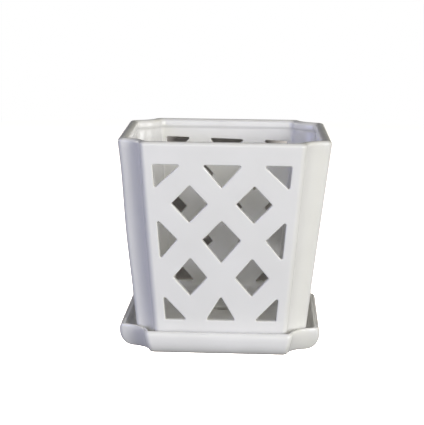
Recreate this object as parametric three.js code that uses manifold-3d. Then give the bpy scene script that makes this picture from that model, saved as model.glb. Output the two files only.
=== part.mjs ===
// A square glazed pot for orchids, with scooped corners and an open lattice in all four walls. It stands in
// its saucer. Sizes are in millimetres and +Z is up. The origin is on the table, under the saucer's middle.
import * as THREE from "three";
import { mergeVertices } from "three/addons/utils/BufferGeometryUtils.js";
import Module from "manifold-3d";

// The pot's outside.
const POT_WIDTH = 152; // flat to flat at the rim
const POT_FOOT_WIDTH = 120.7; // flat to flat at the foot
const POT_HEIGHT = 146;
const RIM_COVE = 18.4; // radius of the scooped corners at the rim
const FOOT_COVE = 14.1; // radius of the scooped corners at the foot
const RIM_ROUND = 2.6;
const FOOT_ROUND = 1.5;

// The pot's inside: a thicker lip round the mouth, the wall, and a floor with one drain hole.
const POT_WALL = 5.4;
const LIP_THICKER = 1.4; // how far the lip stands in from the wall
const LIP_HEIGHT = 4.8;
const LIP_STEP = 3; // height over which the lip runs out into the wall
const LIP_ROUND = 2.4;
const POT_FLOOR = 5.5;
const POT_FLOOR_FILLET = 5;
const DRAIN_DIAMETER = 12;
const FOOT_RING = 7; // width of the ring that the pot stands on
const FOOT_RECESS = 5; // height of the hollow inside that ring

// The lattice in each wall. Its field is as high as the wall less the margins, and narrows with the wall.
const LATTICE_RIM_MARGIN = 15.9;
const LATTICE_FOOT_MARGIN = 17.6;
const LATTICE_SIDE_MARGIN = 8.4; // from the edge where the wall meets the scooped corner

// Rows are shares of the field's height, from its top edge. Columns are shares of its half width.
const ROWS = { upper: 0.245, middle: 0.475, lower: 0.719 };
const UPPER_COLUMN = 0.49;
const LOWER_COLUMN = 0.52;

// Diamonds: half their width, how far they rise above their row and how far they fall below it.
const UPPER_DIAMOND = { half: 12.6, rise: 13.2, fall: 13.4 };
const MIDDLE_DIAMOND = { half: 13.4, rise: 14.2, fall: 16.5 };
const LOWER_DIAMOND = { half: 11.8, rise: 14.4, fall: 13.5 };

// Triangles: those at the middle of the field's top and bottom edges, in its corners, and at its sides.
const TOP_TRIANGLE = { half: 13.7, fall: 16.2 };
const BOTTOM_TRIANGLE = { half: 10.3, rise: 17.8 };
const TOP_CORNER = { width: 19.2, fall: 16.8 };
const BOTTOM_CORNER = { width: 15.2, rise: 17.8 };
const SIDE_TRIANGLE = { width: 12.9, rise: 14.3, fall: 14.3 };

// The saucer. Its well is cut to the pot's foot, and its wall bellies out over a smaller base.
const SEAT_GAP = 0.3; // between the pot's foot and the saucer's floor
const FOOT_CLEARANCE = 2.1; // between the pot's foot and the edge of the saucer's flat floor
const SAUCER_HEIGHT = 17;
const SAUCER_FLOOR = 6; // the floor's top above the table
const SAUCER_WALL = 4;
const SAUCER_FILLET = 5;
const SAUCER_BELLY = 9.4; // how far the wall swells out from the base
const SAUCER_RIM_ROUND = 5; // height of the rim's rounding on the outside, over half the wall's thickness
const SAUCER_RIM_BAND = 0.6; // upright stretch of wall under that rounding
const SAUCER_COVE_SPREAD = 5.3; // the saucer's scooped corners over the pot's, in radius
const SAUCER_TAPER = 4; // how much nearer its middle each side ends at the table than at the rim
const SAUCER_FOOT_RING = 6;
const SAUCER_RECESS = 1.5;

// How finely curves are cut into flats.
const COVE_STEPS = 8;
const ROUND_STEPS = 4;
const BELLY_STEPS = 6;
const DRAIN_STEPS = 28;

const GLAZE = { color: 0xe2e2e4, roughness: 0.16, metalness: 0 };

const wasm = await Module();
wasm.setup();

const mix = (a, b, share) => a + (b - a) * share;

// The plan of a square with scooped corners, drawn in by inset. half is the square's half width and cove the
// radius of its corner scoops, whose centres stay on the square's own corners.
function planOutline(half, cove, inset) {
  const radius = cove + inset;
  const lean = Math.asin(inset / radius);
  const points = [];
  for (let side = 0; side < 4; side++) {
    const turn = (side * Math.PI) / 2;
    for (let i = 0; i <= COVE_STEPS; i++) {
      const angle = mix(Math.PI - lean, Math.PI / 2 + lean, i / COVE_STEPS);
      const point = new THREE.Vector2(half + radius * Math.cos(angle), -half + radius * Math.sin(angle));
      points.push(point.rotateAround(new THREE.Vector2(), turn));
    }
  }
  return points;
}

// The rings of a quarter circle or quarter ellipse, after its start. place gets two shares that both run from
// 0 to 1 along it: early moves fast at first, and late moves fast at the end.
function quarter(count, place) {
  return Array.from({ length: count }, (_, i) => {
    const angle = (((i + 1) / count) * Math.PI) / 2;
    return place(Math.sin(angle), 1 - Math.cos(angle));
  });
}

// A closed surface through rings that share one count of points. A face that looks down closes the first
// ring, and one that looks up closes the last.
function ringSolid(rings) {
  const count = rings[0].points.length;
  const positions = rings.flatMap(({ z, points }) => points.flatMap((p) => [p.x, p.y, z]));
  const index = [];
  for (let r = 0; r + 1 < rings.length; r++) {
    for (let i = 0; i < count; i++) {
      const a = r * count + i;
      const b = r * count + ((i + 1) % count);
      index.push(a, b, b + count);
      index.push(a, b + count, a + count);
    }
  }
  for (const [ring, down] of [[0, true], [rings.length - 1, false]]) {
    const first = ring * count;
    for (const face of THREE.ShapeUtils.triangulateShape(rings[ring].points, [])) {
      const [a, b, c] = face.map((corner) => first + corner);
      index.push(...(down ? [a, c, b] : [a, b, c]));
    }
  }
  const geometry = new THREE.BufferGeometry();
  geometry.setAttribute("position", new THREE.Float32BufferAttribute(positions, 3));
  geometry.setIndex(index);
  return toSolid(geometry);
}

function toSolid(geometry) {
  const bare = geometry.clone();
  bare.deleteAttribute("normal");
  bare.deleteAttribute("uv");
  const merged = mergeVertices(bare, 1e-4);
  const vertProperties = merged.attributes.position.array;
  const triVerts = new Uint32Array(merged.index.array);
  return new wasm.Manifold(new wasm.Mesh({ numProp: 3, vertProperties, triVerts }));
}

function toGeometry(solid) {
  const { vertProperties, triVerts } = solid.getMesh();
  const geometry = new THREE.BufferGeometry();
  geometry.setAttribute("position", new THREE.BufferAttribute(vertProperties, 3));
  geometry.setIndex(new THREE.BufferAttribute(triVerts, 1));
  geometry.computeVertexNormals();
  return geometry;
}

// The pot's half width and scoop radius at a height above its foot.
const potHalf = (z) => mix(POT_FOOT_WIDTH, POT_WIDTH, z / POT_HEIGHT) / 2;
const potCove = (z) => mix(FOOT_COVE, RIM_COVE, z / POT_HEIGHT);

function potShell() {
  const lip = POT_WALL + LIP_THICKER;
  const lipFoot = POT_HEIGHT - LIP_HEIGHT;
  const floor = FOOT_RECESS + POT_FLOOR;
  const ring = (z, inset) => ({ z, points: planOutline(potHalf(z), potCove(z), inset) });
  return ringSolid([
    ring(FOOT_RECESS, FOOT_RING),
    ring(0, FOOT_RING),
    ring(0, FOOT_ROUND),
    ...quarter(ROUND_STEPS, (early, late) => ring(FOOT_ROUND * late, FOOT_ROUND * (1 - early))),
    ring(POT_HEIGHT - RIM_ROUND, 0),
    ...quarter(ROUND_STEPS, (early, late) => ring(POT_HEIGHT - RIM_ROUND * (1 - early), RIM_ROUND * late)),
    ring(POT_HEIGHT, lip - LIP_ROUND),
    ...quarter(ROUND_STEPS, (early, late) =>
      ring(POT_HEIGHT - LIP_ROUND * late, lip - LIP_ROUND * (1 - early)),
    ),
    ring(lipFoot, lip),
    ring(lipFoot - LIP_STEP, POT_WALL),
    ring(floor + POT_FLOOR_FILLET, POT_WALL),
    ...quarter(ROUND_STEPS, (early, late) =>
      ring(floor + POT_FLOOR_FILLET * (1 - early), POT_WALL + POT_FLOOR_FILLET * late),
    ),
  ]);
}

// Every hole of one wall, as outlines of points across the wall and up from the pot's foot.
function latticeOutlines() {
  const bottom = LATTICE_FOOT_MARGIN;
  const top = POT_HEIGHT - LATTICE_RIM_MARGIN;
  const rowHeight = (share) => mix(top, bottom, share);
  const fieldHalf = (z) => potHalf(z) - potCove(z) - LATTICE_SIDE_MARGIN;
  const diamond = (row, column, { half, rise, fall }) => {
    const z = rowHeight(row);
    const x = column * fieldHalf(z);
    return [[x - half, z], [x, z - fall], [x + half, z], [x, z + rise]];
  };
  const middle = rowHeight(ROWS.middle);
  const cornerFoot = top - TOP_CORNER.fall;
  const cornerHead = bottom + BOTTOM_CORNER.rise;
  const sideHead = middle + SIDE_TRIANGLE.rise;
  const sideFoot = middle - SIDE_TRIANGLE.fall;
  const central = [
    diamond(ROWS.middle, 0, MIDDLE_DIAMOND),
    [[-TOP_TRIANGLE.half, top], [0, top - TOP_TRIANGLE.fall], [TOP_TRIANGLE.half, top]],
    [[-BOTTOM_TRIANGLE.half, bottom], [BOTTOM_TRIANGLE.half, bottom], [0, bottom + BOTTOM_TRIANGLE.rise]],
  ];
  const edgePoint = (z, inward = 0) => [fieldHalf(z) - inward, z];
  const right = [
    diamond(ROWS.upper, UPPER_COLUMN, UPPER_DIAMOND),
    diamond(ROWS.lower, LOWER_COLUMN, LOWER_DIAMOND),
    [edgePoint(top, TOP_CORNER.width), edgePoint(cornerFoot), edgePoint(top)],
    [edgePoint(bottom, BOTTOM_CORNER.width), edgePoint(bottom), edgePoint(cornerHead)],
    [edgePoint(middle, SIDE_TRIANGLE.width), edgePoint(sideFoot), edgePoint(sideHead)],
  ];
  const left = right.map((outline) => outline.map(([x, z]) => [-x, z]).reverse());
  return [...central, ...right, ...left];
}

// One prism through the whole pot cuts a hole in two facing walls.
function latticePrisms() {
  const reach = POT_WIDTH + POT_WALL;
  return [0, Math.PI / 2].flatMap((turn) =>
    latticeOutlines().map((outline) => {
      const shape = new THREE.Shape(outline.map(([x, z]) => new THREE.Vector2(x, z)));
      const prism = new THREE.ExtrudeGeometry(shape, { depth: reach, bevelEnabled: false });
      prism.rotateX(Math.PI / 2).translate(0, reach / 2, 0).rotateZ(turn);
      return toSolid(prism);
    }),
  );
}

function drainPrism() {
  const reach = FOOT_RECESS + POT_FLOOR;
  const bore = new THREE.CylinderGeometry(DRAIN_DIAMETER / 2, DRAIN_DIAMETER / 2, 2 * reach, DRAIN_STEPS);
  return toSolid(bore.rotateX(Math.PI / 2).translate(0, 0, reach / 2));
}

function latticePot() {
  const cuts = [...latticePrisms(), drainPrism()];
  return toGeometry(cuts.reduce((solid, cut) => solid.subtract(cut), potShell()));
}

function saucer() {
  const rimHalf = POT_FOOT_WIDTH / 2 + FOOT_CLEARANCE + SAUCER_FILLET + SAUCER_WALL;
  const rimCove = FOOT_COVE + SAUCER_COVE_SPREAD;
  const halfWall = SAUCER_WALL / 2;
  const bandHead = SAUCER_HEIGHT - SAUCER_RIM_ROUND;
  const bandFoot = bandHead - SAUCER_RIM_BAND;
  // swell runs from 0 at the base to 1 at the rim.
  const outer = (z, inset, swell = 1) => {
    const half = rimHalf - SAUCER_BELLY * (1 - swell);
    const end = rimHalf - rimCove - SAUCER_TAPER * (1 - z / SAUCER_HEIGHT);
    return { z, points: planOutline(half, half - end, inset) };
  };
  const inner = (z, inset) => ({ z, points: planOutline(rimHalf, rimCove, inset) });
  return toGeometry(ringSolid([
    outer(SAUCER_RECESS, SAUCER_FOOT_RING, 0),
    outer(0, SAUCER_FOOT_RING, 0),
    outer(0, 0, 0),
    ...quarter(BELLY_STEPS, (early, late) => outer(bandFoot * late, 0, early)),
    outer(bandHead, 0),
    ...quarter(ROUND_STEPS, (early, late) => outer(bandHead + SAUCER_RIM_ROUND * early, halfWall * late)),
    ...quarter(ROUND_STEPS, (early, late) => inner(SAUCER_HEIGHT - halfWall * late, halfWall * (1 + early))),
    inner(SAUCER_FLOOR + SAUCER_FILLET, SAUCER_WALL),
    ...quarter(ROUND_STEPS, (early, late) =>
      inner(SAUCER_FLOOR + SAUCER_FILLET * (1 - early), SAUCER_WALL + SAUCER_FILLET * late),
    ),
  ]));
}

function namedMesh(name, geometry) {
  const mesh = new THREE.Mesh(geometry, new THREE.MeshStandardMaterial(GLAZE));
  mesh.name = name;
  return mesh;
}

const orchidPot = new THREE.Group();
const pot = namedMesh("lattice_pot", latticePot());
pot.position.z = SAUCER_FLOOR + SEAT_GAP;
orchidPot.add(namedMesh("saucer", saucer()), pot);

export default orchidPot;
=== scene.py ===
import math

import bmesh
import bpy
from mathutils import Matrix, Vector, noise
from mathutils.geometry import delaunay_2d_cdt


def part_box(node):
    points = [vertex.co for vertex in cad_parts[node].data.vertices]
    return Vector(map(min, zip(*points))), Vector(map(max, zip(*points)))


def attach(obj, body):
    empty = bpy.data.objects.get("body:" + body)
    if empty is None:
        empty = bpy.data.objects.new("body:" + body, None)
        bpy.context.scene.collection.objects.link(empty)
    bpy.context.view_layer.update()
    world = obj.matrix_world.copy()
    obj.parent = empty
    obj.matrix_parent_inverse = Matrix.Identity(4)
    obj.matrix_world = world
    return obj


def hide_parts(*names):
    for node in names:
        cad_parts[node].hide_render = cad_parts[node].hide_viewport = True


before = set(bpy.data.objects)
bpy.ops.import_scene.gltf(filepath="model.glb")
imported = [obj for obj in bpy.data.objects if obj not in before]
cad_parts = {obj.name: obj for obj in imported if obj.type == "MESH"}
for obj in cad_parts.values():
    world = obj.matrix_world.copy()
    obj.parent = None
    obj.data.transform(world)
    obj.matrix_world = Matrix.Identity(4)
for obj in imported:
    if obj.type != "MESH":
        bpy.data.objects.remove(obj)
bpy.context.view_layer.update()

# A square orchid pot in white glaze, with scooped corners and an open lattice in its walls, and its saucer.
# Lengths are in millimetres until a mesh is made of them. +Z is up, and the front wall faces -Y.
MM = 0.001
pot_low, pot_high = (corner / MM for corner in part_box("lattice_pot"))
saucer_low, saucer_high = (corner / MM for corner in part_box("saucer"))

# The pot's outside. Heights are above its foot.
POT_HEIGHT = pot_high.z - pot_low.z
POT_FOOT_HALF = 60.35
RIM_COVE = 18.4
FOOT_COVE = 14.1
RIM_ROUND = 2.6
FOOT_ROUND = 1.5
SHOULDER = POT_HEIGHT - RIM_ROUND
SHOULDER_HALF = pot_high.x

# The pot's inside.
POT_WALL = 5.4
LIP_THICKER = 1.4
LIP_HEIGHT = 4.8
LIP_STEP = 3
LIP_ROUND = 2.4
RIM_CREST = 0.52  # where across its thickness the rim is highest
POT_FLOOR = 5.5
POT_FLOOR_FILLET = 5
FOOT_RING = 7
FOOT_RECESS = 5
DRAIN_RADIUS = 6
DRAIN_ROUND = 0.9
DRAIN_FLARE = 3  # how much wider the drain ends under the floor
DRAIN_THIN = 0.5  # how thin the glaze is inside it

# The lattice in each wall. Rows are shares of the field's height, and columns of its half width.
LATTICE_RIM_MARGIN = 15.9
LATTICE_FOOT_MARGIN = 17.6
LATTICE_SIDE_MARGIN = 8.4
ROWS = {"upper": 0.245, "middle": 0.475, "lower": 0.719}
UPPER_COLUMN = 0.49
LOWER_COLUMN = 0.52
UPPER_DIAMOND = {"half": 12.6, "rise": 13.2, "fall": 13.4}
MIDDLE_DIAMOND = {"half": 13.4, "rise": 14.2, "fall": 16.5}
LOWER_DIAMOND = {"half": 11.8, "rise": 14.4, "fall": 13.5}
TOP_TRIANGLE = {"half": 13.7, "fall": 16.2}
BOTTOM_TRIANGLE = {"half": 10.3, "rise": 17.8}
TOP_CORNER = {"width": 19.2, "fall": 16.8}
BOTTOM_CORNER = {"width": 15.2, "rise": 17.8}
SIDE_TRIANGLE = {"width": 12.9, "rise": 14.3, "fall": 14.3}
# How unevenly the front, right, back and left wall were cut: the top edge's rise at the middle and its slope,
# and how much less the diamonds reach down.
CUT_STRAYS = ((0, 0, 0), (0.3, -0.004, 0.6), (0.5, 0.025, 1.3), (0.2, 0.006, 0.3))

# The saucer. Heights are above the table.
SAUCER_HEIGHT = saucer_high.z
SAUCER_RIM_HALF = saucer_high.x
SAUCER_RIM_COVE = 19.4
SAUCER_FLOOR = 6
SAUCER_WALL = 4
SAUCER_FILLET = 5
SAUCER_BELLY = 8.4
SAUCER_RIM_ROUND = 5
SAUCER_RIM_BAND = 0.6
SAUCER_TAPER = 4
SAUCER_FOOT_RING = 6
SAUCER_RECESS = 1.5

# How the glaze rounds the clay's edges.
EDGE_SOFT = 4  # the upright edges beside the scooped corners
INSIDE_SOFT = 1.8  # the same edges inside the pot and the saucer
MOUTH_SOFT = 4.5  # the same edges inside the pot's mouth
HOLE_ROUND = 0.9  # a hole's edge on the outside
HOLE_ROUND_INSIDE = 0.8
HOLE_CORNER = 0.9  # a hole's own corners
RING_ROUND = 0.6  # the edges of the rings that the pieces stand on
WARP_DEPTH = 0.22  # how far the handmade walls stray inwards
WARP_REACH = 38
WARP_EASE = 10  # over which height that grows from the foot, and fades below the rim
PULL = 2.1  # how far in the front left corner was drawn
PULL_HEIGHTS = (75, 140)  # where that starts, and where it reaches its full amount
PULL_FORWARD = 1.5  # over how many half widths it fades towards the back
PULL_OUT = (0.64, 0.94)  # where it starts and is full, in half widths to the left
SAUCER_WIDER = 1.011  # how much wider than deep the saucer came out of the kiln
SAUCER_ASIDE = 0.6  # how far left of the pot's middle it stands
SAUCER_TURN = -0.012  # how far it is turned about the upright, in radians

# How finely the surfaces are cut.
FLAT_COUNT = 34
SOFT_COUNT = 8
COVE_COUNT = 16
ROUND_COUNT = 6
BELLY_COUNT = 12
STATION_STEP = 3.4
HOLE_STEP = 2.6
HOLE_CLEAR = STATION_STEP / 3  # how far a wall's own points stay from a hole's edge
CORNER_COUNT = 5
DRAIN_COUNT = 48
QUARTERS = range(4)
WELD = 0.002  # how close points are that become one
FILL_WELD = 0.000001  # the same, while a flat region is filled
FACE_WEIGHT = 100  # lets large faces lead the shading; 50 would be neutral

# The glaze and the clay. Scales are how many times a pattern repeats in a metre. A bump is its depth in
# metres and its strength.
GLAZE_DULL = (0.795, 0.79, 0.773, 1)
GLAZE_BRIGHT = (0.82, 0.815, 0.802, 1)
GLAZE_THIN = (0.82, 0.80, 0.745, 1)  # over the edges, where the clay shows through
SPECK = (0.42, 0.36, 0.29, 1)
CLAY_DARK = (0.71, 0.66, 0.585, 1)
CLAY_LIGHT = (0.80, 0.76, 0.69, 1)
THIN_SHARE = (0.2, 0.6)
SPECK_SHARE = 0.45
SPECK_EDGE = (0.02, 0.045)  # from a speck's middle to where it fades and ends, in cells of its pattern
SPECK_RARE = (0.955, 0.96)  # what a cell's random value has to pass for a speck to lie in it
PINHOLE_EDGE = (0, 0.05)
PINHOLE_RARE = (0.93, 0.94)
RAGGED = 0.35  # how unevenly the glaze ends at the bare clay
BARE_EDGE = (0.45, 0.6)  # the bareness values between which it ends
POOL_SPAN = (0.35, 0.65)  # the noise values between which the glaze turns from dull to bright
NOISE_SPAN = (0.3, 0.7)  # the same for how thin it runs and how rough it is
GLAZE_IOR = 1.5
GLAZE_ROUGHNESS = (0.18, 0.26)
CLAY_ROUGHNESS = 0.82
POOL_SCALE = 26
THIN_SCALE = 150
SPECK_SCALE = 95
CLAY_SCALE = 900
RAGGED_SCALE = 260
GLOSS_SCALE = 40
SWELL_SCALE = 55
PEEL_SCALE = 620
PINHOLE_SCALE = 170
GRAIN_SCALE = 2600
SWELL = (0.0009, 0.35)
PEEL = (0.00006, 0.5)
PINHOLE = (0.00025, 0.6)
GRAIN = (0.0002, 0.7)

# The floor, in metres. It is dull to the light that bounces from it, and pale where it is seen.
FLOOR_COLOUR = 0.01
FLOOR_SEEN = (0.95, 0.885, 0.825)
FLOOR_MIRRORED = 0.07
FLOOR_REACH = 40
FLOOR_DROP = 0.0001  # how far it lies below the saucer's foot ring
FLOOR_FADE = (1.2, 1.45)  # how far from the middle it turns plain white
WORLD = 0.05

# The camera: how far right of the pot's middle, in front of it and above its rim, and its degrees of turn to
# the left, pitch down and roll.
CAMERA_RIGHT = 20.96
CAMERA_BACK = 931.56
CAMERA_ABOVE = 111.09
CAMERA_ANGLES = (1.837, 10.537, 0.65)
CAMERA_LENS = 107.51
CAMERA_SENSOR = 36

# Each lamp's degrees round to the right from the front and up, how far away it is and its size in metres, how
# brightly it alone shows a white face that is square to it, and its colour.
PIECE_LAMPS = (
    ("front_light", 0, 15, 2, (2.0, 1.2), 0.385, (1, 0.995, 0.83)),
    ("half_right_light", 35, 14, 3, (0.9, 0.9), 0.465, (0.97, 0.97, 1)),
    ("low_right_light", 70, 7, 2.5, (1.0, 0.4), 0.195, (1, 0.99, 1)),
    ("high_right_light", 50, 40, 2.5, (1.0, 1.0), 0.04, (1, 0.95, 0.76)),
    ("right_rear_light", 115, 14, 2.5, (1.0, 0.8), 0.14, (1, 0.95, 0.82)),
    ("left_light", -50, 14, 2.5, (1.0, 1.0), 0.3, (0.52, 0.55, 1)),
    ("left_rear_light", -120, 14, 2.5, (1.0, 0.8), 0.17, (1, 0.98, 0.84)),
    ("top_light", 180, 60, 2, (1.4, 1.4), 0.07, (1, 0.95, 0.7)),
    ("back_light", 180, 4, 2.5, (1.2, 0.6), 0.32, (0.97, 0.97, 1)),
)
FLOOR_LAMPS = (
    ("floor_light", 1.6, 7.6, 2.2, (0.14, 0.09), 28),
    ("floor_fill", 0, 18, 2.5, (0.9, 0.5), 0.13),
)


def mix(a, b, share):
    return a + (b - a) * share


def clamped(share):
    return min(max(share, 0), 1)


def reached(value, low, high):
    """How far the value has come from low to high, between 0 and 1."""
    return clamped((value - low) / (high - low))


def smooth_step(share):
    return share * share * (3 - 2 * share)


def arc(count):
    """The angles of a quarter circle, both ends included."""
    return [math.pi / 2 * i / count for i in range(count + 1)]


class Shell:
    """The points and faces of one closed surface. Points that meet are welded when it becomes a mesh."""

    def __init__(self):
        self.points = []
        self.thin = []
        self.bare = []
        self.faces = []

    def add(self, points, thin=0.0, bare=0.0):
        """New points, with how thin the glaze is on them and how bare the clay. Returns their numbers."""
        first = len(self.points)
        self.points += points
        self.thin += [thin] * len(points)
        self.bare += [bare] * len(points)
        return list(range(first, len(self.points)))

    def skin(self, rows, closed):
        """Quads between rows of equally many points."""
        for low, high in zip(rows, rows[1:]):
            count = len(low)
            for i in range(count if closed else count - 1):
                j = (i + 1) % count
                self.faces.append((low[i], low[j], high[j], high[i]))

    def fill(self, loops, inner, place):
        """Triangles in a flat region with inner points. The first loop is its border, the rest are holes."""
        outline = [Vector(p) for loop in loops for p in loop]
        edges = []
        first = 0
        for loop in loops:
            count = len(loop)
            edges += [(first + i, first + (i + 1) % count) for i in range(count)]
            first += count
        flat = outline + [Vector(p) for p in inner]
        # Type 0 covers the points' whole hull. What lies beyond the border or in a hole is left out below.
        _, _, triangles, origins, _, _ = delaunay_2d_cdt(flat, edges, [], 0, FILL_WELD, True)
        numbers = self.add([place(*p) for p in flat])
        for triangle in triangles:
            corners = [origins[v][0] for v in triangle]
            middle = sum((flat[c] for c in corners), Vector((0, 0))) / 3
            if encloses(loops[0], middle) and not any(encloses(hole, middle) for hole in loops[1:]):
                self.faces.append([numbers[c] for c in corners])

    def mesh(self, name):
        """The welded mesh, in metres, with its normals out."""
        made = bmesh.new()
        thin = made.verts.layers.float.new("thin")
        bare = made.verts.layers.float.new("bare")
        for point, thinness, bareness in zip(self.points, self.thin, self.bare):
            vert = made.verts.new(point)
            vert[thin], vert[bare] = thinness, bareness
        made.verts.ensure_lookup_table()
        for face in self.faces:
            made.faces.new([made.verts[i] for i in face])
        bmesh.ops.remove_doubles(made, verts=made.verts, dist=WELD)
        bmesh.ops.dissolve_degenerate(made, edges=made.edges, dist=WELD)
        bmesh.ops.recalc_face_normals(made, faces=made.faces)
        for face in made.faces:
            face.smooth = True
        bmesh.ops.transform(made, matrix=Matrix.Scale(MM, 4), verts=made.verts)
        mesh = bpy.data.meshes.new(name)
        made.to_mesh(mesh)
        made.free()
        return mesh


def encloses(loop, point):
    """Whether the loop goes round the point, by counting its crossings to one side."""
    inside = False
    for (ax, ay), (bx, by) in zip(loop, loop[1:] + loop[:1]):
        if (ay > point[1]) != (by > point[1]):
            inside ^= point[0] < mix(ax, bx, (point[1] - ay) / (by - ay))
    return inside


def turned(point, quarter):
    """The point turned about the pot's middle by so many quarter turns."""
    x, y, z = point
    for _ in range(quarter):
        x, y = -y, x
    return (x, y, z)


def flat_end(half, cove, inset, soft):
    """How far from its middle a wall's flat part reaches, before the rounding that leads to the scoop."""
    return half - math.sqrt((cove + inset + soft) ** 2 - (inset + soft) ** 2)


def flat_points(half, cove, inset, soft):
    """The front wall's flat part in plan."""
    end = flat_end(half, cove, inset, soft)
    return [(mix(-end, end, i / FLAT_COUNT), -half + inset) for i in range(FLAT_COUNT + 1)]


def scoop_points(half, cove, inset, soft):
    """The corner between the front and the right wall in plan, with both its edges rounded."""
    radius = cove + inset
    end = flat_end(half, cove, inset, soft)
    lean = math.asin((inset + soft) / (radius + soft))
    near = []
    for i in range(SOFT_COUNT + 1):
        angle = mix(-math.pi / 2, -lean, i / SOFT_COUNT)
        near.append((end + soft * math.cos(angle), -half + inset + soft + soft * math.sin(angle)))
    scoop = []
    for i in range(1, COVE_COUNT):
        angle = mix(math.pi - lean, math.pi / 2 + lean, i / COVE_COUNT)
        scoop.append((half + radius * math.cos(angle), -half + radius * math.sin(angle)))
    far = [(-y, -x) for x, y in reversed(near)]
    return near + scoop + far


def plan_loop(shape, z):
    """The whole outline at height z. shape is (half, cove, inset, soft)."""
    quarter = flat_points(*shape)[:-1] + scoop_points(*shape)[:-1]
    return [turned((x, y, z), turn) for turn in QUARTERS for x, y in quarter]


def pot_half(z):
    return mix(POT_FOOT_HALF, SHOULDER_HALF, z / SHOULDER)


def pot_cove(z):
    return mix(FOOT_COVE, RIM_COVE, z / POT_HEIGHT)


def inside_soft(z):
    """The inner edges' rounding, which grows from the lattice up to the mouth."""
    start = POT_HEIGHT - LATTICE_RIM_MARGIN
    return mix(INSIDE_SOFT, MOUTH_SOFT, smooth_step(reached(z, start, POT_HEIGHT - LIP_HEIGHT)))


def pot_shape(z, inset):
    soft = mix(EDGE_SOFT, inside_soft(z), min(inset / POT_WALL, 1))
    return (pot_half(z), pot_cove(z), inset, soft)


def lattice_outlines(turn):
    """Every hole of one wall, as corners (across the wall, up from the foot), turning to the left."""
    bottom, top = LATTICE_FOOT_MARGIN, POT_HEIGHT - LATTICE_RIM_MARGIN
    rise_middle, slope, shorter = CUT_STRAYS[turn]
    top_end = pot_half(top) - pot_cove(top) - LATTICE_SIDE_MARGIN

    def height(row):
        return mix(top, bottom, ROWS[row])

    def head(x):
        return (x, top + rise_middle + slope * x)

    def edge(z, inward=0):
        return (pot_half(z) - pot_cove(z) - LATTICE_SIDE_MARGIN - inward, z)

    def diamond(row, column, half, rise, fall):
        z = height(row)
        x = column * edge(z)[0]
        return [(x - half, z), (x, z - fall + shorter), (x + half, z), (x, z + rise)]

    middle = height("middle")
    top_half, bottom_half = TOP_TRIANGLE["half"], BOTTOM_TRIANGLE["half"]
    central = [
        diamond("middle", 0, **MIDDLE_DIAMOND),
        [head(-top_half), (0, top - TOP_TRIANGLE["fall"]), head(top_half)],
        [(-bottom_half, bottom), (bottom_half, bottom), (0, bottom + BOTTOM_TRIANGLE["rise"])],
    ]
    right = [
        diamond("upper", UPPER_COLUMN, **UPPER_DIAMOND),
        diamond("lower", LOWER_COLUMN, **LOWER_DIAMOND),
        [edge(bottom, BOTTOM_CORNER["width"]), edge(bottom), edge(bottom + BOTTOM_CORNER["rise"])],
        [edge(middle, SIDE_TRIANGLE["width"]), edge(middle - SIDE_TRIANGLE["fall"]),
         edge(middle + SIDE_TRIANGLE["rise"])],
    ]
    left = [[(-x, z) for x, z in reversed(outline)] for outline in right]
    foot_x, foot_z = edge(top - TOP_CORNER["fall"])
    top_right = [head(top_end - TOP_CORNER["width"]), (foot_x, foot_z), head(top_end)]
    top_left = [head(-top_end), (-foot_x, foot_z), head(TOP_CORNER["width"] - top_end)]
    return [*central, *right, top_right, *left, top_left]


def rounded_outline(outline, grow):
    """The outline with round corners, moved out by grow. Any grow gives as many points, in the same order."""
    corners = [Vector(p) for p in outline]
    count = len(corners)
    arcs = []
    for i, corner in enumerate(corners):
        along_in = (corner - corners[i - 1]).normalized()
        along_out = (corners[(i + 1) % count] - corner).normalized()
        bend = along_in.angle(along_out)
        middle = corner + (along_out - along_in).normalized() * HOLE_CORNER / math.cos(bend / 2)
        start = math.atan2(-along_in.x, along_in.y)
        arcs.append([
            middle + (HOLE_CORNER + grow) * Vector((math.cos(start + a), math.sin(start + a)))
            for a in (bend * k / CORNER_COUNT for k in range(CORNER_COUNT + 1))
        ])
    loop = []
    for i, here in enumerate(arcs):
        after = arcs[(i + 1) % count]
        steps = round((corners[(i + 1) % count] - corners[i]).length / HOLE_STEP)
        loop += here
        loop += [here[-1].lerp(after[0], k / steps) for k in range(1, steps)]
    return [tuple(p) for p in loop]


def stations(low, high):
    """Evenly spaced heights from low to high."""
    steps = round((high - low) / STATION_STEP)
    return [mix(low, high, i / steps) for i in range(steps + 1)]


def lattice_wall(shell, heights, inset, hole_grow):
    """One face of all four lattice walls, with the scooped corners between them."""
    ends = [flat_end(*pot_shape(z, inset)) for z in heights]
    shares = [mix(-1, 1, i / FLAT_COUNT) for i in range(FLAT_COUNT + 1)]
    right = list(zip(ends, heights))
    border = [(share * ends[0], heights[0]) for share in shares]
    border += right[1:-1]
    border += [(share * ends[-1], heights[-1]) for share in reversed(shares)]
    border += [(-x, z) for x, z in right[-2:0:-1]]
    for turn in QUARTERS:
        outlines = lattice_outlines(turn)
        holes = [rounded_outline(outline, hole_grow) for outline in outlines]
        guards = [rounded_outline(outline, hole_grow + HOLE_CLEAR) for outline in outlines]
        grid = [(share * end, z) for end, z in right[1:-1] for share in shares[1:-1]]
        inner = [point for point in grid if not any(encloses(guard, point) for guard in guards)]
        shell.fill([border, *holes], inner, lambda x, z: turned((x, -pot_half(z) + inset, z), turn))
        rows = []
        for z in heights:
            corner = scoop_points(*pot_shape(z, inset))
            rows.append(shell.add([turned((x, y, z), turn) for x, y in corner]))
        shell.skin(rows, closed=False)


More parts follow.
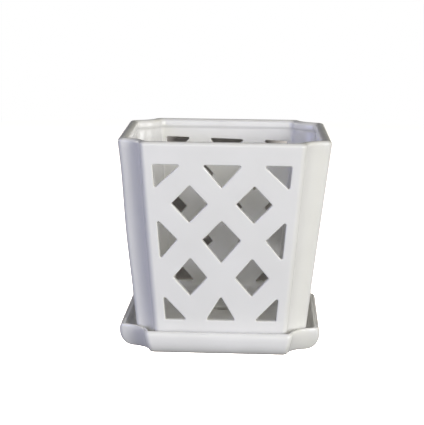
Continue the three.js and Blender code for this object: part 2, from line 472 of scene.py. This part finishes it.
def hole_linings(shell):
    """The walls of every hole, from the rounded edge outside to the rounded edge inside."""
    profile = [(HOLE_ROUND * (1 - math.cos(a)), HOLE_ROUND * (1 - math.sin(a))) for a in arc(ROUND_COUNT)]
    profile += [
        (POT_WALL - HOLE_ROUND_INSIDE * (1 - math.sin(a)), HOLE_ROUND_INSIDE * (1 - math.cos(a)))
        for a in arc(ROUND_COUNT)
    ]
    for turn in QUARTERS:
        for outline in lattice_outlines(turn):
            rows = []
            for depth, grow in profile:
                loop = rounded_outline(outline, grow)
                thin = 1.0 if grow < HOLE_ROUND / 2 else 0.0
                rows.append(shell.add(
                    [turned((x, -pot_half(z) + depth, z), turn) for x, z in loop], thin))
            shell.skin(rows, closed=True)


def drain_loop(radius, z):
    return [
        (radius * math.cos(a), radius * math.sin(a), z)
        for a in (2 * math.pi * i / DRAIN_COUNT for i in range(DRAIN_COUNT))
    ]


def flat_disc(shell, rim, hole=None):
    """A level floor inside the rim, with a hole or without."""
    z = rim[0][2]
    loops = [[(x, y) for x, y, _ in loop] for loop in (rim, hole) if loop]
    shell.fill(loops, [], lambda x, y: (x, y, z))


def ring_rows(shell, rings):
    """Joins whole outlines. A ring is (height, shape, thin, bare)."""
    rows = [shell.add(plan_loop(shape, z), thin, bare) for z, shape, thin, bare in rings]
    shell.skin(rows, closed=True)


def pot_shell():
    shell = Shell()
    lip = POT_WALL + LIP_THICKER
    lip_foot = POT_HEIGHT - LIP_HEIGHT
    inside_top = lip_foot - LIP_STEP
    floor = FOOT_RECESS + POT_FLOOR
    inside_foot = floor + POT_FLOOR_FILLET

    lattice_wall(shell, stations(FOOT_ROUND, SHOULDER), 0, HOLE_ROUND)
    lattice_wall(shell, stations(inside_foot, inside_top), POT_WALL, HOLE_ROUND_INSIDE)
    hole_linings(shell)

    def ring(z, inset, thin=0.0, bare=0.0):
        return (z, pot_shape(z, inset), thin, bare)

    crest = lip * RIM_CREST

    rim = [
        ring(SHOULDER + RIM_ROUND * math.sin(a), crest * (1 - math.cos(a)), thin=math.sin(2 * a))
        for a in arc(ROUND_COUNT)
    ]
    rim += [
        ring(POT_HEIGHT - LIP_ROUND * (1 - math.cos(a)), mix(crest, lip, math.sin(a)), thin=math.sin(2 * a))
        for a in arc(ROUND_COUNT)[1:]
    ]
    rim += [
        ring(mix(lip_foot, inside_top, share), mix(lip, POT_WALL, smooth_step(share)))
        for share in (i / ROUND_COUNT for i in range(ROUND_COUNT + 1))
    ]
    ring_rows(shell, rim)

    inside = [
        ring(inside_foot - POT_FLOOR_FILLET * math.sin(a), POT_WALL + POT_FLOOR_FILLET * (1 - math.cos(a)))
        for a in arc(ROUND_COUNT)
    ]
    ring_rows(shell, inside)

    foot = [
        ring(FOOT_ROUND * (1 - math.sin(a)), FOOT_ROUND * (1 - math.cos(a)), thin=math.sin(2 * a))
        for a in arc(ROUND_COUNT)
    ]
    foot += [
        ring(RING_ROUND * (1 - math.cos(a)), FOOT_RING - RING_ROUND * (1 - math.sin(a)), bare=1)
        for a in arc(ROUND_COUNT)
    ]
    foot += [
        ring(FOOT_RECESS - RING_ROUND * (1 - math.sin(a)), FOOT_RING + RING_ROUND * (1 - math.cos(a)))
        for a in arc(ROUND_COUNT)
    ]
    ring_rows(shell, foot)

    drain = [
        (DRAIN_RADIUS + DRAIN_ROUND * (1 - math.sin(a)), floor - DRAIN_ROUND * (1 - math.cos(a)))
        for a in arc(ROUND_COUNT)
    ]
    flare_depth = POT_FLOOR - DRAIN_ROUND
    drain += [
        (DRAIN_RADIUS + DRAIN_FLARE * (1 - math.cos(a)), FOOT_RECESS + flare_depth * (1 - math.sin(a)))
        for a in arc(ROUND_COUNT)[1:]
    ]
    loops = [drain_loop(radius, z) for radius, z in drain]
    shell.skin([shell.add(loop, DRAIN_THIN) for loop in loops], closed=True)
    flat_disc(shell, plan_loop(inside[-1][1], floor), loops[0])
    flat_disc(shell, plan_loop(foot[-1][1], FOOT_RECESS), loops[-1])
    shell.points = [(x, y, z + pot_low.z) for x, y, z in shell.points]
    return shell


def saucer_shell():
    shell = Shell()
    half_wall = SAUCER_WALL / 2
    band_head = SAUCER_HEIGHT - SAUCER_RIM_ROUND
    band_foot = band_head - SAUCER_RIM_BAND
    fillet_top = SAUCER_FLOOR + SAUCER_FILLET

    def soft(inset):
        return mix(EDGE_SOFT, INSIDE_SOFT, min(inset / SAUCER_WALL, 1))

    def outer(z, inset, swell=1.0, thin=0.0, bare=0.0):
        half = SAUCER_RIM_HALF - SAUCER_BELLY * (1 - swell)
        end = SAUCER_RIM_HALF - SAUCER_RIM_COVE - SAUCER_TAPER * (1 - z / SAUCER_HEIGHT)
        return (z, (half, half - end, inset, soft(inset)), thin, bare)

    def inner(z, inset, thin=0.0):
        return (z, (SAUCER_RIM_HALF, SAUCER_RIM_COVE, inset, soft(inset)), thin, 0.0)

    rings = [
        outer(
            SAUCER_RECESS - RING_ROUND * (1 - math.cos(a)),
            SAUCER_FOOT_RING + RING_ROUND * (1 - math.sin(a)), swell=0)
        for a in arc(ROUND_COUNT)
    ]
    rings += [
        outer(
            RING_ROUND * (1 - math.sin(a)),
            SAUCER_FOOT_RING - RING_ROUND * (1 - math.cos(a)), swell=0, bare=1)
        for a in arc(ROUND_COUNT)
    ]
    rings += [outer(0, RING_ROUND, swell=0, bare=1)]
    rings += [
        outer(band_foot * (1 - math.cos(a)), RING_ROUND * (1 - math.sin(a)) ** 2, swell=math.sin(a))
        for a in arc(BELLY_COUNT)[1:]
    ]
    rings += [
        outer(
            band_head + SAUCER_RIM_ROUND * math.sin(a), half_wall * (1 - math.cos(a)), thin=math.sin(a) ** 3)
        for a in arc(ROUND_COUNT)
    ]
    rings += [
        inner(SAUCER_HEIGHT - half_wall * (1 - math.cos(a)), half_wall * (1 + math.sin(a)), thin=math.cos(a))
        for a in arc(ROUND_COUNT)[1:]
    ]
    rings += [
        inner(fillet_top - SAUCER_FILLET * math.sin(a), SAUCER_WALL + SAUCER_FILLET * (1 - math.cos(a)))
        for a in arc(ROUND_COUNT)
    ]
    ring_rows(shell, rings)
    flat_disc(shell, plan_loop(rings[0][1], SAUCER_RECESS))
    flat_disc(shell, plan_loop(rings[-1][1], SAUCER_FLOOR))
    return shell


def warped(shell, fixed_low, fixed_high):
    """Draws the walls in by a smooth, handmade unevenness, and leaves the foot and the rim level."""
    moved = []
    for x, y, z in shell.points:
        place = Vector((x, y, z)) / WARP_REACH
        stray = WARP_DEPTH * (0.5 + 0.5 * noise.noise(place))
        share = clamped((z - fixed_low) / WARP_EASE) * clamped((fixed_high - z) / WARP_EASE)
        size = math.hypot(x, y)
        shrink = 1 - smooth_step(share) * stray / max(size, 1)
        moved.append((x * shrink, y * shrink, z))
    shell.points = moved


def pulled_in(shell):
    """Draws the pot's left wall in towards its front end, from half its height up to the rim."""
    moved = []
    for x, y, z in shell.points:
        up = reached(z, *PULL_HEIGHTS)
        forward = clamped(0.5 - y / SHOULDER_HALF / PULL_FORWARD)
        out = reached(-x / SHOULDER_HALF, *PULL_OUT)
        moved.append((x + PULL * smooth_step(up) * forward * smooth_step(out), y, z))
    shell.points = moved


def set_down(shell):
    """Widens the saucer a little, and puts it slightly aside and turned, as it stands under the pot."""
    shell.points = [
        (x * SAUCER_WIDER - SAUCER_ASIDE - y * SAUCER_TURN, y + x * SAUCER_TURN, z)
        for x, y, z in shell.points
    ]


def piece_of(shell, name, body, node, material):
    piece = bpy.data.objects.new(name, shell.mesh(name))
    bpy.context.scene.collection.objects.link(piece)
    piece.data.materials.append(material)
    weighted = piece.modifiers.new("even_normals", "WEIGHTED_NORMAL")
    weighted.weight = FACE_WEIGHT
    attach(piece, body)
    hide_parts(node)


class Nodes:
    """Adds the nodes of one material, and links them by name."""

    def __init__(self, name):
        self.material = bpy.data.materials.new(name)
        self.material.use_nodes = True
        self.tree = self.material.node_tree
        self.tree.nodes.clear()

    def add(self, kind, links=(), **settings):
        node = self.tree.nodes.new(kind)
        for key, value in settings.items():
            setattr(node, key, value)
        for socket, source in dict(links).items():
            if isinstance(source, bpy.types.NodeSocket):
                self.tree.links.new(source, node.inputs[socket])
            else:
                node.inputs[socket].default_value = source
        return node

    def noise(self, place, scale, detail=2.0):
        node = self.add("ShaderNodeTexNoise", {"Vector": place, "Scale": scale, "Detail": detail})
        return node.outputs["Fac"]

    def span(self, value, low, high, to_low=0.0, to_high=1.0):
        node = self.add("ShaderNodeMapRange", {
            "Value": value, "From Min": low, "From Max": high, "To Min": to_low, "To Max": to_high})
        return node.outputs["Result"]

    def math(self, operation, a, b=0.0):
        return self.add("ShaderNodeMath", {0: a, 1: b}, operation=operation).outputs["Value"]

    def blend(self, share, a, b):
        node = self.add("ShaderNodeMix", {0: share, 6: a, 7: b}, data_type="RGBA")
        return node.outputs[2]

    def bump(self, height, distance, strength, normal=None):
        links = {"Height": height, "Distance": distance, "Strength": strength}
        if normal:
            links["Normal"] = normal
        return self.add("ShaderNodeBump", links).outputs["Normal"]


def glaze_material():
    """White glaze, glossy and faintly uneven, and creamier where it runs thin. The foot rings are bare."""
    n = Nodes("white_glaze_surface")
    place = n.add("ShaderNodeTexCoord").outputs["Object"]
    thin = n.add("ShaderNodeAttribute", attribute_name="thin").outputs["Fac"]
    bare = n.add("ShaderNodeAttribute", attribute_name="bare").outputs["Fac"]

    pooled = n.span(n.noise(place, POOL_SCALE, detail=3), *POOL_SPAN)
    white = n.blend(pooled, GLAZE_DULL, GLAZE_BRIGHT)
    uneven = n.span(n.noise(place, THIN_SCALE, detail=3), *NOISE_SPAN, *THIN_SHARE)
    glazed = n.blend(n.math("MULTIPLY", thin, uneven), white, GLAZE_THIN)
    specks = n.add("ShaderNodeTexVoronoi", {"Vector": place, "Scale": SPECK_SCALE})
    speck = n.span(specks.outputs["Distance"], *SPECK_EDGE, SPECK_SHARE, 0)
    rare = n.span(n.add("ShaderNodeSeparateColor", {0: specks.outputs["Color"]}).outputs[0], *SPECK_RARE)
    glazed = n.blend(n.math("MULTIPLY", speck, rare), glazed, SPECK)
    clay = n.blend(n.noise(place, CLAY_SCALE, detail=4), CLAY_DARK, CLAY_LIGHT)
    ragged = n.math("ADD", bare, n.span(n.noise(place, RAGGED_SCALE), 0, 1, -RAGGED, RAGGED))
    bare_share = n.span(ragged, *BARE_EDGE)
    colour = n.blend(bare_share, glazed, clay)

    gloss = n.span(n.noise(place, GLOSS_SCALE, detail=3), *NOISE_SPAN, *GLAZE_ROUGHNESS)
    roughness = n.add("ShaderNodeMix", {0: bare_share, 2: gloss, 3: CLAY_ROUGHNESS}).outputs[0]

    swell = n.bump(n.noise(place, SWELL_SCALE, detail=1), *SWELL)
    peel = n.bump(n.noise(place, PEEL_SCALE), *PEEL, swell)
    holes = n.add("ShaderNodeTexVoronoi", {"Vector": place, "Scale": PINHOLE_SCALE})
    pinhole = n.span(holes.outputs["Distance"], *PINHOLE_EDGE)
    few = n.span(n.add("ShaderNodeSeparateColor", {0: holes.outputs["Color"]}).outputs[1], *PINHOLE_RARE)
    pinhole = n.math("MAXIMUM", pinhole, n.math("SUBTRACT", 1.0, few))
    pitted = n.bump(pinhole, *PINHOLE, peel)
    grain = n.bump(n.math("MULTIPLY", bare_share, n.noise(place, GRAIN_SCALE, detail=3)), *GRAIN, pitted)

    surface = n.add("ShaderNodeBsdfPrincipled", {
        "Base Color": colour, "Roughness": roughness, "Normal": grain, "IOR": GLAZE_IOR, "Metallic": 0.0})
    n.add("ShaderNodeOutputMaterial", {"Surface": surface.outputs["BSDF"]})
    return n.material


def make_camera():
    """The photograph's viewpoint, with its yaw to the left, pitch down and slight roll."""
    place = Vector((CAMERA_RIGHT, -CAMERA_BACK, pot_high.z + CAMERA_ABOVE)) * MM
    yaw, pitch, roll = (math.radians(d) for d in CAMERA_ANGLES)
    forward = Vector((-math.sin(yaw) * math.cos(pitch), math.cos(yaw) * math.cos(pitch), -math.sin(pitch)))
    level = Vector((math.cos(yaw), math.sin(yaw), 0))
    upright = level.cross(forward)
    right = math.cos(roll) * level + math.sin(roll) * upright
    up = -math.sin(roll) * level + math.cos(roll) * upright
    data = bpy.data.cameras.new("photo_camera")
    data.sensor_width = CAMERA_SENSOR
    data.lens = CAMERA_LENS
    camera = bpy.data.objects.new("photo_camera", data)
    bpy.context.scene.collection.objects.link(camera)
    camera.matrix_world = Matrix.Translation(place) @ Matrix((right, up, -forward)).transposed().to_4x4()
    bpy.context.scene.camera = camera


def make_floor():
    """A wide pale floor. It takes shadows near the object, and is plain white where it is seen far away."""
    n = Nodes("pale_floor")
    path = n.add("ShaderNodeLightPath").outputs
    mirrored = n.math("MAXIMUM", path["Is Glossy Ray"], path["Is Transmission Ray"])
    seen = n.math("MAXIMUM", path["Is Camera Ray"], mirrored)
    colour = n.blend(mirrored, (FLOOR_COLOUR,) * 3 + (1,), (FLOOR_MIRRORED,) * 3 + (1,))
    colour = n.blend(path["Is Camera Ray"], colour, (*FLOOR_SEEN, 1))
    near = n.add("ShaderNodeBsdfDiffuse", {"Color": colour})
    plain = n.add("ShaderNodeEmission", {"Color": (1, 1, 1, 1), "Strength": 1.0})
    place = n.add("ShaderNodeNewGeometry").outputs["Position"]
    away = n.add("ShaderNodeVectorMath", {0: place}, operation="LENGTH").outputs["Value"]
    far_share = n.math("MULTIPLY", n.span(away, *FLOOR_FADE), seen)
    surface = n.add("ShaderNodeMixShader", {0: far_share, 1: near.outputs[0], 2: plain.outputs[0]})
    n.add("ShaderNodeOutputMaterial", {"Surface": surface.outputs[0]})
    mesh = bpy.data.meshes.new("floor")
    quarters = ((-1, -1), (1, -1), (1, 1), (-1, 1))
    corners = [(x * FLOOR_REACH, y * FLOOR_REACH, -FLOOR_DROP) for x, y in quarters]
    mesh.from_pydata(corners, [], [(0, 1, 2, 3)])
    mesh.materials.append(n.material)
    floor = bpy.data.objects.new("floor", mesh)
    bpy.context.scene.collection.objects.link(floor)


def lit_together(name, pieces):
    """The pieces that a lamp lights. What it doesn't light still casts its shadow."""
    group = bpy.data.collections.new(name)
    for piece in pieces:
        group.objects.link(bpy.data.objects[piece])
    return group


def soft_light(name, group, azimuth, elevation, distance, size, level, colour=(1, 1, 1)):
    """A lamp aimed at the pot, which lights only the group."""
    a, e = math.radians(azimuth), math.radians(elevation)
    way = Vector((math.sin(a) * math.cos(e), -math.cos(a) * math.cos(e), math.sin(e)))
    data = bpy.data.lights.new(name, "AREA")
    data.shape = "RECTANGLE"
    data.size, data.size_y = size
    data.energy = level * (math.pi * distance) ** 2
    data.color = colour
    lamp = bpy.data.objects.new(name, data)
    bpy.context.scene.collection.objects.link(lamp)
    lamp.location = Vector((0, 0, (pot_low.z + pot_high.z) / 2 * MM)) + way * distance
    lamp.rotation_euler = way.to_track_quat("Z", "Y").to_euler()
    lamp.light_linking.receiver_collection = group


def make_lighting():
    world = bpy.data.worlds.new("plain_world")
    world.use_nodes = True
    world.node_tree.nodes["Background"].inputs["Color"].default_value = (WORLD, WORLD, WORLD, 1)
    bpy.context.scene.world = world
    pieces = lit_together("lit_pieces", ("glazed_pot", "glazed_saucer"))
    floor = lit_together("lit_floor", ("floor",))
    for name, *place, size, level, colour in PIECE_LAMPS:
        soft_light(name, pieces, *place, size, level, colour)
    bpy.data.objects["back_light"].visible_glossy = False
    for name, *place, size, level in FLOOR_LAMPS:
        soft_light(name, floor, *place, size, level)


def main():
    glaze = glaze_material()
    pot = pot_shell()
    warped(pot, pot_low.z, pot_high.z)
    pulled_in(pot)
    piece_of(pot, "glazed_pot", "pot_body", "lattice_pot", glaze)
    saucer = saucer_shell()
    set_down(saucer)
    piece_of(saucer, "glazed_saucer", "saucer_body", "saucer", glaze)
    make_floor()
    make_camera()
    make_lighting()
    bpy.context.scene.view_settings.view_transform = "Standard"


main()
